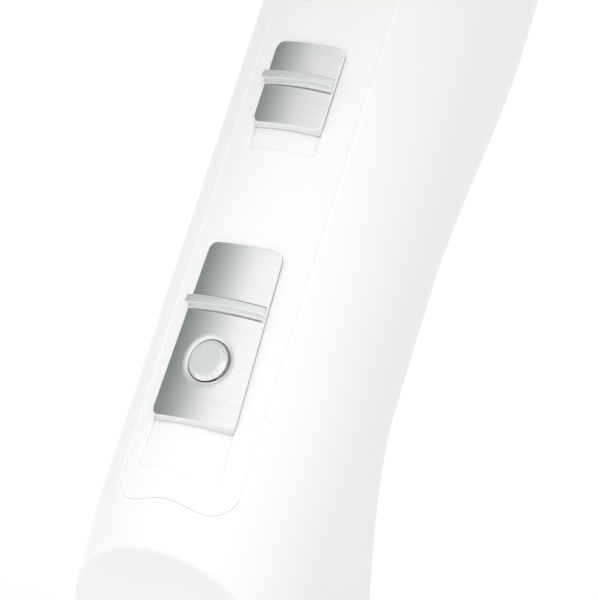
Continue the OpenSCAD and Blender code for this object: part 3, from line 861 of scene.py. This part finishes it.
def control_panel():
    """Snap-in panel with the two recessed tracks that the plates slide in."""
    shape = Shape()
    r_in = HW - WALL
    outline = panel_outline(SEAM, WAVE_SEAM)
    seat = panel_outline(SEAT_GAP, SEAT_GAP)
    heat_end = mix(HEAT_W_TOP, HEAT_W_LOW, (HEAT_H + HEAT_TRAVEL) / HEAT_H)
    tracks = [
        (track_loop(SPEED_W, SPEED_W, SPEED_TOP, SPEED_TOP - SPEED_H - SPEED_TRAVEL, (16, 24)),
         [stem_slot(SPEED_TOP, SPEED_TRAVEL)]),
        (track_loop(HEAT_W_TOP, heat_end, HEAT_TOP, HEAT_TOP - HEAT_H - HEAT_TRAVEL, (18, 48)),
         [stem_slot(HEAT_TOP, HEAT_TRAVEL),
          slot_loop(1.8, BUTTON_Z + 1.8, BUTTON_Z - 1.8 - HEAT_TRAVEL)]),
    ]
    support = FILLET + 0.2
    plate_lows = (SPEED_TOP - SPEED_H, HEAT_TOP - HEAT_H)
    rims = [[mix(0.08, 0.3, smooth(low + 0.4 - z)) for _, z in track]
            for (track, _), low in zip(tracks, plate_lows)]
    edges = [offset(track, [-width - 0.15 for width in widths])
             for (track, _), widths in zip(tracks, rims)]
    rings = add_surface(shape, offset(outline, support), edges, HW, (0.9, 1.5), outward=True)
    edge = rings[0]
    for distance in reversed(FILLET_STEPS[:-1]):
        edge = drop_wall(shape, edge, offset(outline, distance), HW - eased_drop(distance))
    ledge = drop_wall(shape, edge, outline, HW - SEAM_DEPTH)
    ledge = drop_wall(shape, ledge, seat, HW - SEAM_DEPTH - 0.02)
    back_edge = drop_wall(shape, ledge, seat, r_in)
    slots = []
    for ring, (track, openings), widths in zip(rings[1:], tracks, rims):
        lip = roll_edge(shape, ring, track, HW, widths, -1, 0.12)
        floor = add_surface(shape, offset(track, 0.16), openings, TRACK_R, (0.9, 1.5), outward=True)
        for inward, rise in ((0.0, 0.1), (0.03, 0.03), (0.1, 0.0)):
            lip = drop_wall(shape, lip, offset(track, inward), TRACK_R + rise)
        shape.bridge(lip, floor[0])
        slots += list(zip(floor[1:], openings))
    back = add_surface(shape, seat, [loop for _, loop in slots], r_in, (1.8, 3.0))
    shape.bridge(back_edge, back[0])
    for (ring, _), behind in zip(slots, back[1:]):
        shape.bridge(ring, behind)
    weld(shape)
    make("panel_skin", shape, on_handle, "housing", "white_shell", ("control_panel",), sharp=50)


def weld(shape):
    """Joins points that lie in the same place."""
    seen, target = {}, []
    for k, point in enumerate(shape.points):
        key = tuple(round(c, 5) for c in point)
        target.append(seen.setdefault(key, k))
    faces = []
    for face in shape.faces:
        ids = list(dict.fromkeys(target[k] for k in face))
        if len(ids) > 2:
            faces.append(tuple(ids))
    shape.faces = faces


def ring_loop(z, radius):
    """A circle on the front centre line, at a level."""
    return arc(0, z, radius, 0, 360, 72)[:-1]


def thumb_plate(name, half_top, half_low, top, height, dish_z):
    """Brushed plate with a drafted lower wall, and a dished hole where a button sits."""
    shape = Shape()
    cells = (14, 20 if dish_z is None else 40)
    low = top - height
    face = plate_loop(half_top, half_low, top, low + PLATE_DRAFT, PLATE_CORNER, PLATE_CORNER, cells)
    base = plate_loop(half_top, half_low, top, low, PLATE_CORNER, PLATE_FOOT_CORNER, cells)
    holes = [] if dish_z is None else [ring_loop(dish_z, DISH_R)]
    support = offset(face, PLATE_EDGE + 0.14)
    rings = add_surface(shape, support, holes, PLATE_R, (0.7, 0.9), outward=True)
    rolled = roll_edge(shape, rings[0], face, PLATE_R, PLATE_EDGE, 1)
    foot = drop_wall(shape, rolled, base, PLATE_R - 0.85)
    back_ring = drop_wall(shape, foot, base, PLATE_IN)
    if dish_z is not None:
        ring = rings[1]
        for t in spaced(0, 1, 10)[1:]:
            loop = ring_loop(dish_z, mix(DISH_R, DISH_HOLE_R, t))
            ring = drop_wall(shape, ring, loop, PLATE_R - DISH_DEPTH * t ** 2.2)
        holes = [ring_loop(dish_z, DISH_HOLE_R - 0.08)]
        ring = drop_wall(shape, ring, holes[0], PLATE_R - DISH_DEPTH - 0.12)
        wall_end = drop_wall(shape, ring, holes[0], PLATE_IN)
    back = add_surface(shape, base, holes, PLATE_IN, (1.4, 1.8))
    shape.bridge(back_ring, back[0])
    if holes:
        shape.bridge(wall_end, back[1])
    weld(shape)
    make(name + "_plate", shape, on_handle, name + "_slide", "silver_plate", (name + "_slider",),
         sharp=40)


def thumb_ridge(name, top, half):
    """Satin grip bar laid across a plate, overhanging a low foot with a thin undercut."""
    shape = Shape()
    profile = rounded([(0.0, -0.5, 0), (0.0, 1.34, 0.16), (-1.5, 1.44, 0.14), (-1.1, 0.5, 0.02),
                       (-1.98, 0.42, 0.08), (-2.02, 0.09, 0.02), (-1.5, 0.09, 0), (-1.5, -0.5, 0)], 4)
    ends = [0.0, 0.03, 0.08, 0.15, 0.25, 0.4]
    places = [-half + d for d in ends]
    places += spaced(-half + ends[-1], half - ends[-1], 28)[1:-1]
    places += [half - d for d in reversed(ends)]
    rings = []
    for s in places:
        shrink = quarter(min(s + half, half - s), 0.2)
        ring = []
        for z, h in profile:
            height = h - shrink if h > 0.5 else h
            ring.append(curved(s, top + mix(z, -0.95, shrink), PLATE_R + height))
        rings.append(ring)
    shape.loft(rings)
    make(name + "_ridge", shape, on_handle, name + "_slide", "silver_button", sharp=30)


def ridge_shade_strip(name, top, half):
    """Thin grey pad under a ridge that shows as a line along both of its long sides: a painted shade line
    that stands in for the ridge's shadow and its dark reflection in the plate.
    """
    shape = Shape()
    above, below, proud, sunk = 0.46, -2.22, 0.04, -0.3
    profile = rounded([(above, sunk, 0), (above, proud, 0.03), (below, proud, 0.03), (below, sunk, 0)], 3)
    shape.loft([[curved(s, top + z, PLATE_R + h) for z, h in profile] for s in spaced(-half, half, 30)])
    make(name + "_shade_strip", shape, on_handle, name + "_slide", "dark_plastic", sharp=30, paint="gasket")


def slider_stem(name, z):
    """Peg behind a plate that carries the switch's slider."""
    shape = Shape()
    outline = rounded([(y, up, 0.3) for y, up in ((-1.6, -1.7), (1.6, -1.7), (1.6, 1.7), (-1.6, 1.7))], 3)
    shape.loft([[(x, y, z + up) for y, up in outline] for x in spaced(-19.8, -9.0, 4)])
    make(name + "_stem", shape, on_handle, name + "_slide", "inner_white")


def thumb_switch(name, half_top, half_low, top, height, ridge_drop, ridge_half, dish_z=None):
    """One slide switch: its plate, the ridge across it with a grey pad that paints shade lines along it,
    and the stem behind.
    """
    thumb_plate(name, half_top, half_low, top, height, dish_z)
    thumb_ridge(name, top - ridge_drop, ridge_half)
    # grey pad whose thin edges paint the ridge's shadow and dark reflection as lines
    ridge_shade_strip(name, top - ridge_drop, ridge_half - 0.15)
    slider_stem(name, top - STEM_TOP - STEM_SLOT / 2)


def cold_shot_button():
    """Turned, tapered button with a softly crowned top, and the stem behind it."""
    stem_end, flange_end, under, crown = -12.9, -16.2, -20.34, -21.4
    stem_r, flange_r, cap_r = 1.5, 2.7, 3.4
    profile = rounded([
        (stem_end, 0.0, 0), (stem_end, stem_r, 0.15), (flange_end, stem_r, 0),
        (flange_end, flange_r, 0.1), (flange_end - 0.7, flange_r, 0.1), (flange_end - 0.7, stem_r, 0),
        (under, stem_r, 0), (under, cap_r, 0.03), (under - 0.16, cap_r - 0.03, 0.05),
        (crown + 0.02, cap_r - 0.62, 0.4), (crown, 1.6, 0), (crown - 0.02, 0.0, 0)], 8)
    shape = revolved(profile, 72)
    shape.points = [(x, y, BUTTON_Z + z) for x, y, z in shape.points]
    make("button_cap", shape, on_handle, "cold_shot", "silver_button", ("cold_shot_button",), sharp=40)


# --- barrel
SEAM_LIP = [(0.2, 0.05), (0.06, 0.2), (0.0, 0.4)]  # back from the barrel's joint, and in from its radius


def barrel_radius(x):
    """Radius of the barrel, which tapers toward the outlet."""
    return BARREL_R - 7.0 * clamp01((-6 - x) / 80) ** 1.45


def barrel_shell():
    """Barrel with its outlet spigot and a seam at the rear housing."""
    shoulder = X_FRONT + 12
    xs = spaced(shoulder + 1.2, X_JOINT - 0.4, 60)
    outer = [(x, barrel_radius(x)) for x in xs]
    inner = [(x, barrel_radius(x) - WALL) for x in reversed(xs[1:])]
    edge = rounded([
        (X_FRONT, SPIGOT_R - WALL, 0.3), (X_FRONT, SPIGOT_R, 0.6), (shoulder, SPIGOT_R, 0.4),
        (shoulder, barrel_radius(shoulder), 1.0), (shoulder + 9, barrel_radius(shoulder + 9), 0)])
    seam = [(X_JOINT - back, BARREL_R - drop) for back, drop in SEAM_LIP] + [(X_JOINT, BARREL_R - WALL)]
    inside_end = [(shoulder + 2, SPIGOT_R - WALL)]
    shape = revolved(edge[:-1] + outer + seam + inner[1:] + inside_end)
    make("barrel_skin", shape, on_barrel, "housing", "white_shell", ("barrel_shell",), sharp=50)


def rear_housing():
    """Rear casing, slightly flared, with a spigot that the intake cover snaps over."""
    x0, face, sleeve_end = X_JOINT + 0.1, 70, 44
    spigot_r, throat_r, pocket_r, sleeve_r = 38.6, 36.6, 37.6, 36.5
    profile = [(x0 + back, BARREL_R - drop) for back, drop in reversed(SEAM_LIP)]
    for x in spaced(x0 + 0.4, face - 0.4, 24):
        swell = sind(90 * clamp01((x - x0) / 18))
        profile.append((x, mix(BARREL_R, HOUSING_R, swell)))
    profile += [(face - 0.15, HOUSING_R - 0.15), (face, HOUSING_R - 0.4), (face, spigot_r)]
    profile += [(face + 3.6, spigot_r - 0.2), (X_HOUSING, spigot_r - 0.5)]
    profile += [(X_HOUSING, throat_r + 0.3), (X_HOUSING - 0.3, throat_r), (face, throat_r)]
    profile += [(face - 6, pocket_r), (face - 12, sleeve_r)]
    profile += [(sleeve_end + 0.2, sleeve_r), (sleeve_end, sleeve_r + 0.05)]
    profile += [(sleeve_end, sleeve_r + 0.15), (sleeve_end + 0.2, sleeve_r + 0.2), (x0, sleeve_r + 0.2)]
    shape = revolved(profile)
    make("rear_skin", shape, on_barrel, "housing", "white_shell", ("rear_housing",), sharp=50)


def polar_shell(outer, inner, count, half_width, cells, is_open):
    """A shell on a polar grid that has parallel-sided features at equal turns.

    outer and inner are profiles of (x, radius). cells is the number of cells between two features.
    is_open(i, on_feature) leaves a cell out.
    """
    places = []
    for k in range(count):
        turn = 2 * pi * k / count
        places += [(turn, side, 0.0) for side in (-1, 0, 1)]
        places += [(turn, 1, t) for t in spaced(0, 1, cells)[1:-1]]

    def point(j, x, radius):
        turn, side, share = places[j]
        half = asin(min(1.0, half_width / max(radius, half_width * 1.2)))
        gap = 2 * pi / count - 2 * half
        a = turn + side * half + share * gap
        return (x, radius * cos(a), radius * sin(a))

    return window_shell(lambda i, j: point(j, *outer[i]), lambda i, j: point(j, *inner[i]),
                        len(outer) - 1, len(places), lambda i, j: is_open(i, j % (cells + 2) in (0, 1)))


def close_hub(shape, radius, rows, levels):
    """Takes out the wall round the middle of a polar shell, and closes both of its sides there."""
    columns = len(shape.points) // (2 * rows)
    reach = [hypot(y, z) for _, y, z in shape.points]
    shape.faces = [face for face in shape.faces if max(reach[k] for k in face) > radius + 1e-6]
    for x, first in zip(levels, (0, rows * columns)):
        middle = shape.add([(x, 0, 0)])[0]
        shape.faces += [(first + j, first + (j + 1) % columns, middle) for j in range(columns)]


def filter_cover():
    """Domed intake cover with radial slots and a rim that grips the rear housing."""
    hub_r, slot_in, slot_out, flat_r = 4, 14.0, 34.0, COVER_R - COVER_RIM
    thick, bore_r = 2.0, 38.9

    def dome_x(radius):
        share = radius / COVER_R
        return X_COVER1 - 1.6 * share ** 2 - 4.6 * share ** 6

    radii = spaced(hub_r, slot_in - 0.8, 5) + [slot_in - 0.4] + spaced(slot_in, slot_out, 12)
    radii += spaced(slot_out + 0.4, flat_r, 5)
    rim = []
    for a in spaced(0, 90, 8)[1:]:
        out = sind(a)
        rim.append((dome_x(flat_r) - COVER_RIM * (1 - cosd(a)) - 0.8 * out, flat_r + COVER_RIM * out))
    rim_x = rim[-1][0]
    side = [(x, COVER_R - 0.3 * clamp01((rim_x - x) / 8)) for x in spaced(rim_x, X_COVER0 + 0.4, 6)[1:]]
    outer = [(dome_x(r), r) for r in radii] + rim + side + [(X_COVER0 + 0.05, COVER_R - 0.45)]
    inner = [(dome_x(r) - thick, r) for r in radii]
    inner += [(max(X_COVER0, x - 0.6), min(r - thick, bore_r) if r > 39 else r - 0.6) for x, r in rim]
    inner += [(x, bore_r) for x, _ in side] + [(X_COVER0, bore_r)]
    first = radii.index(slot_in)
    last = radii.index(slot_out)
    shape = polar_shell(outer, inner, 24, 1.3, 4, lambda i, on_slot: on_slot and first <= i < last)
    close_hub(shape, hub_r, len(outer), (dome_x(0), dome_x(0) - thick))
    make("intake_cover", shape, on_barrel, "filter", "white_shell", ("filter_cover",), sharp=40,
         bevel=0.25)


def grille(name, node, rings, ring_w, spokes, spoke_w, x0, x1):
    """Concentric rings joined by straight spokes, moulded in one piece with rounded edges."""
    radii = []
    for r in sorted(rings):
        radii += [r - ring_w, r]
    front, back = [(x1, r) for r in radii], [(x0, r) for r in radii]
    shape = polar_shell(front, back, spokes, spoke_w / 2, 10,
                        lambda i, on_spoke: i % 2 == 1 and not on_spoke)
    make(name, shape, on_barrel, "housing", "dark_plastic", (node,), sharp=35, bevel=0.22)


def woven_filter():
    """Fine woven mesh held in a pressed ring."""
    radius, wire, pitch, sides = 36.4, 0.16, 2.0, 5
    x_mid = X_COVER0 + 6.6
    shape = Shape()
    count = int(radius / pitch)
    for layer in (0, 1):
        for k in range(-count, count + 1):
            place = k * pitch
            reach = sqrt(radius ** 2 - place ** 2)
            steps = max(6, int(reach * 2 / pitch * 4))
            rings = []
            for t in spaced(-reach, reach, steps):
                sway = wire * cos(pi * (t / pitch + k + layer))
                ring = []
                for n in range(sides):
                    a = 2 * pi * n / sides
                    aside, up = wire * cos(a), wire * sin(a)
                    where = (t, place + aside) if layer == 0 else (place + aside, t)
                    ring.append((x_mid + sway + up, *where))
                rings.append(ring)
            shape.loft(rings)
    x0, x1 = x_mid - 0.9, x_mid + 0.9
    hoop = revolved(rounded([(x0, 36.0, 0.25), (x0, 38.4, 0.3), (x1, 38.4, 0.3), (x1, 36.0, 0.25)], 4), 120)
    first = len(shape.points)
    shape.points += hoop.points
    shape.faces += [tuple(first + k for k in face) for face in hoop.faces]
    make("woven_filter", shape, on_barrel, "filter", "steel", ("filter_mesh",))


def nozzle_collar():
    """Turned metal ring with a shallow groove."""
    x0, x1 = node_x("nozzle_collar")
    middle = (x0 + x1) / 2
    r_in, r_groove = SPIGOT_R + 0.05, COLLAR_R - 0.4
    profile = rounded([
        (x0, r_in, 0.1), (x0, COLLAR_R, 0.4),
        (middle - 1.0, COLLAR_R, 0.2), (middle - 0.8, r_groove, 0.1),
        (middle + 0.8, r_groove, 0.1), (middle + 1.0, COLLAR_R, 0.2),
        (x1, COLLAR_R, 0.4), (x1, r_in, 0.1)], 4)
    make("collar_ring", revolved(profile), on_barrel, "collar", "collar_metal", ("nozzle_collar",))


def concentrator():
    """Flat air concentrator, lofted from a circle to a slot with a rolled lip."""
    count = 160
    r_base, r_inner = 32.6, 31.2
    x_back = node_x("concentrator_nozzle")[1]
    slot_w, slot_h, thick = 35.0, 5.6, 1.6

    def ring_point(x, j, share, radius, half_w, half_h):
        """Between a circle and a stadium whose round ends have the slot's half height."""
        angle = 2 * pi * j / count
        c, s = cos(angle), sin(angle)
        straight = (half_w - half_h) * share
        r = mix(radius, half_h, share)
        return (x, r * c + straight * copysign(smooth(abs(c) * 1.6), c), r * s)

    def outer(i, j):
        x, share, grow = stations[i]
        return ring_point(x, j, share, r_base + grow, slot_w, slot_h)

    def inner(i, j):
        x, share, _ = stations[i]
        return ring_point(x, j, share, r_inner, slot_w - thick, slot_h - thick)

    stations = [(x_back, 0, -0.35), (x_back - 0.25, 0, -0.08), (x_back - 0.6, 0, 0)]
    stations += [(x, 0, 0) for x in spaced(x_back - 1.5, X_FRONT - 1.0, 6)]
    for t in spaced(0, 1, 36)[1:]:
        x = mix(X_FRONT - 1.0, X_MOUTH, t)
        stations.append((x, 0.62 * t + 0.38 * smooth(t), 0))
    shape = window_shell(outer, inner, len(stations) - 1, count, lambda i, j: False)
    make("concentrator", shape, on_barrel, "nozzle", "smoke_nozzle", ("concentrator_nozzle",),
         sharp=50, bevel=0.35)


# --- handle end
def inlet_bushing():
    """Soft bushing round the cord inlet, with a rounded flange."""
    neck, flange, end = 7.4, 10.0, Z_BOT - 3.0
    profile = [(Z_BOT + 7, BORE_R), (Z_BOT + 7, neck), (Z_BOT - 0.2, neck)]
    profile += rounded([(Z_BOT - 0.2, neck, 0), (Z_BOT - 0.1, flange, 0.3), (Z_BOT - 1.5, flange, 0.9),
                        (end, 7.2, 0.8), (end, BORE_R, 0.5)], 6)[1:]
    shape = revolved(profile, 96)
    shape.points = [(HOLE_X + y, z, x) for x, y, z in shape.points]
    make("inlet_collar", shape, on_handle, "housing", "soft_rubber", ("inlet_bushing",))


def hanging_loop():
    """Moulded eye for a hook, with round edges and a foot under the handle."""
    shape = Shape()
    centre, hole_r, rim = Z_BOT - 8, 5.5, 7.9
    foot, top = 6.0, Z_BOT - 0.05
    sweep = degrees(asin(foot / rim))
    outline = arc(0, centre, rim, 90 + sweep, 450 - sweep, 60)
    outline += line(outline[-1], (foot, top), 4) + [(foot, top)]
    outline += line((foot, top), (-foot, top), 8) + [(-foot, top)]
    outline += line((-foot, top), outline[0], 4)
    hole = arc(0, centre, hole_r, 0, 360, 60)[:-1]
    sides = []
    for side in (-1, 1):
        flat, triangles = fill(outline, [hole], (1.2, 1.2))
        ids = shape.add([(HOLE_X + 17.5 + u, side * 2.0, v) for u, v in flat])
        shape.faces += [tuple(ids[k] for k in t) for t in triangles]
        sides.append(ids)
    count = len(outline)
    shape.bridge(sides[0][:count], sides[1][:count])
    shape.bridge(sides[0][count:count + len(hole)], sides[1][count:count + len(hole)])
    make("hanging_eye", shape, on_handle, "housing", "soft_rubber", ("hang_loop",), sharp=35, bevel=0.7)


# --- stage, light and camera
def floor_paper(tree):
    tone = tree.blend(tree.remap(tree.grain(30), 0, 1), (0.81, 0.81, 0.81), (0.83, 0.83, 0.83))
    tree.surface(Base_Color=tone, Roughness=0.9, Specular_IOR_Level=0.1)


def stage():
    """Plain pale floor just under the object."""
    floor = bpy.data.meshes.new("floor")
    reach, level = 6.0, cad_box[0].z - 0.0005
    corners = [(-reach, -reach), (reach, -reach), (reach, reach), (-reach, reach)]
    floor.from_pydata([(x, y, level) for x, y in corners], [], [(0, 1, 2, 3)])
    floor.materials.append(material("floor_paper", floor_paper))
    thing = link("floor", floor)


def direction(azimuth, elevation):
    """A unit vector. The azimuth is taken from -X toward +Y, in degrees."""
    level = cosd(elevation)
    return Vector((-cosd(azimuth) * level, sind(azimuth) * level, sind(elevation)))


def lobe(tree, where, azimuth, elevation, start):
    """1 in one direction, falling evenly to 0 where the cosine to it drops to start."""
    facing = tree.node("VectorMath")
    facing.operation = "DOT_PRODUCT"
    facing.inputs[1].default_value = direction(azimuth, elevation)
    tree.put(facing.inputs[0], where)
    return tree.remap(facing.outputs["Value"], 0, 1, start, 1.0)


def world():
    """Bright studio surround with a dark screen beside the switches and a dimmer one behind the grip."""
    surround = bpy.data.worlds.new("studio")
    bpy.context.scene.world = surround
    surround.use_nodes = True
    tree = Tree(surround.node_tree)
    where = tree.node("TexCoord").outputs["Generated"]
    bright, ceiling = (1.1, 1.1, 1.09), (1.0, 1.0, 1.0)
    dim, dark = (0.75, 0.75, 0.75), (0.13, 0.17, 0.155)
    colour = tree.blend(lobe(tree, where, 0, 90, 0.25), bright, ceiling)
    colour = tree.blend(lobe(tree, where, -118, 0, 0.3), colour, dim)
    colour = tree.blend(lobe(tree, where, 80, 16, 0.47), colour, dark)
    tree.fill_in(tree.nodes["Background"], Color=colour)
    bpy.context.scene.view_settings.view_transform = "Standard"


def soft_sun(name, toward, spread, strength):
    """Very soft light from one side, which leaves reflections to the surround."""
    data = bpy.data.lights.new(name, "SUN")
    data.angle = radians(spread)
    data.energy = strength
    lamp = link(name, data)
    lamp.rotation_mode = "QUATERNION"
    lamp.rotation_quaternion = Vector(toward).to_track_quat("Z", "Y")
    lamp.visible_glossy = False


def lights():
    soft_sun("front_softbox", (-0.66, -0.28, 0.64), 80, 1.2)
    soft_sun("side_softbox", (-0.17, 0.96, 0.21), 80, 1.45)
    soft_sun("fill_softbox", (-0.75, 0.6, 0.2), 50, 0.2)


def camera():
    """Camera low beside the switches, rolled so that the handle leans across the frame."""
    distance, roll = 0.4945, 10.63
    aside, above = -0.0012, -0.0078
    back = direction(-26.95, -0.8)
    level_right = (-back).cross(Vector((0, 0, 1))).normalized()
    level_up = level_right.cross(-back)
    right = level_right * cosd(roll) + level_up * sind(roll)
    up = -level_right * sind(roll) + level_up * cosd(roll)
    data = bpy.data.cameras.new("camera")
    data.sensor_width = 36
    data.lens = 179.7
    data.clip_start = 0.01
    eye = link("camera", data)
    turn = Matrix((right, up, back)).transposed().to_4x4()
    eye.matrix_world = Matrix.Translation(back * distance + right * aside + up * above) @ turn
    bpy.context.scene.camera = eye


camera()
stage()
world()
lights()
paint_nodes()
handle_shell()
control_panel()
thumb_switch("speed", SPEED_W, SPEED_W, SPEED_TOP, SPEED_H, 5.8, 5.95)
thumb_switch("heat", HEAT_W_TOP, HEAT_W_LOW, HEAT_TOP, HEAT_H, 9.6, 6.65, BUTTON_Z)
cold_shot_button()
barrel_shell()
rear_housing()
filter_cover()
grille("intake_grille", "rear_grille", (36.9, 30, 24, 18, 12, 6), 1.3, 6, 1.6, 66, 68)
grille("air_grille", "outlet_grille", (26.6, 21, 15.5, 10, 4.5), 1.2, 8, 1.2, X_FRONT + 1, X_FRONT + 4)
woven_filter()
nozzle_collar()
concentrator()
inlet_bushing()
hanging_loop()
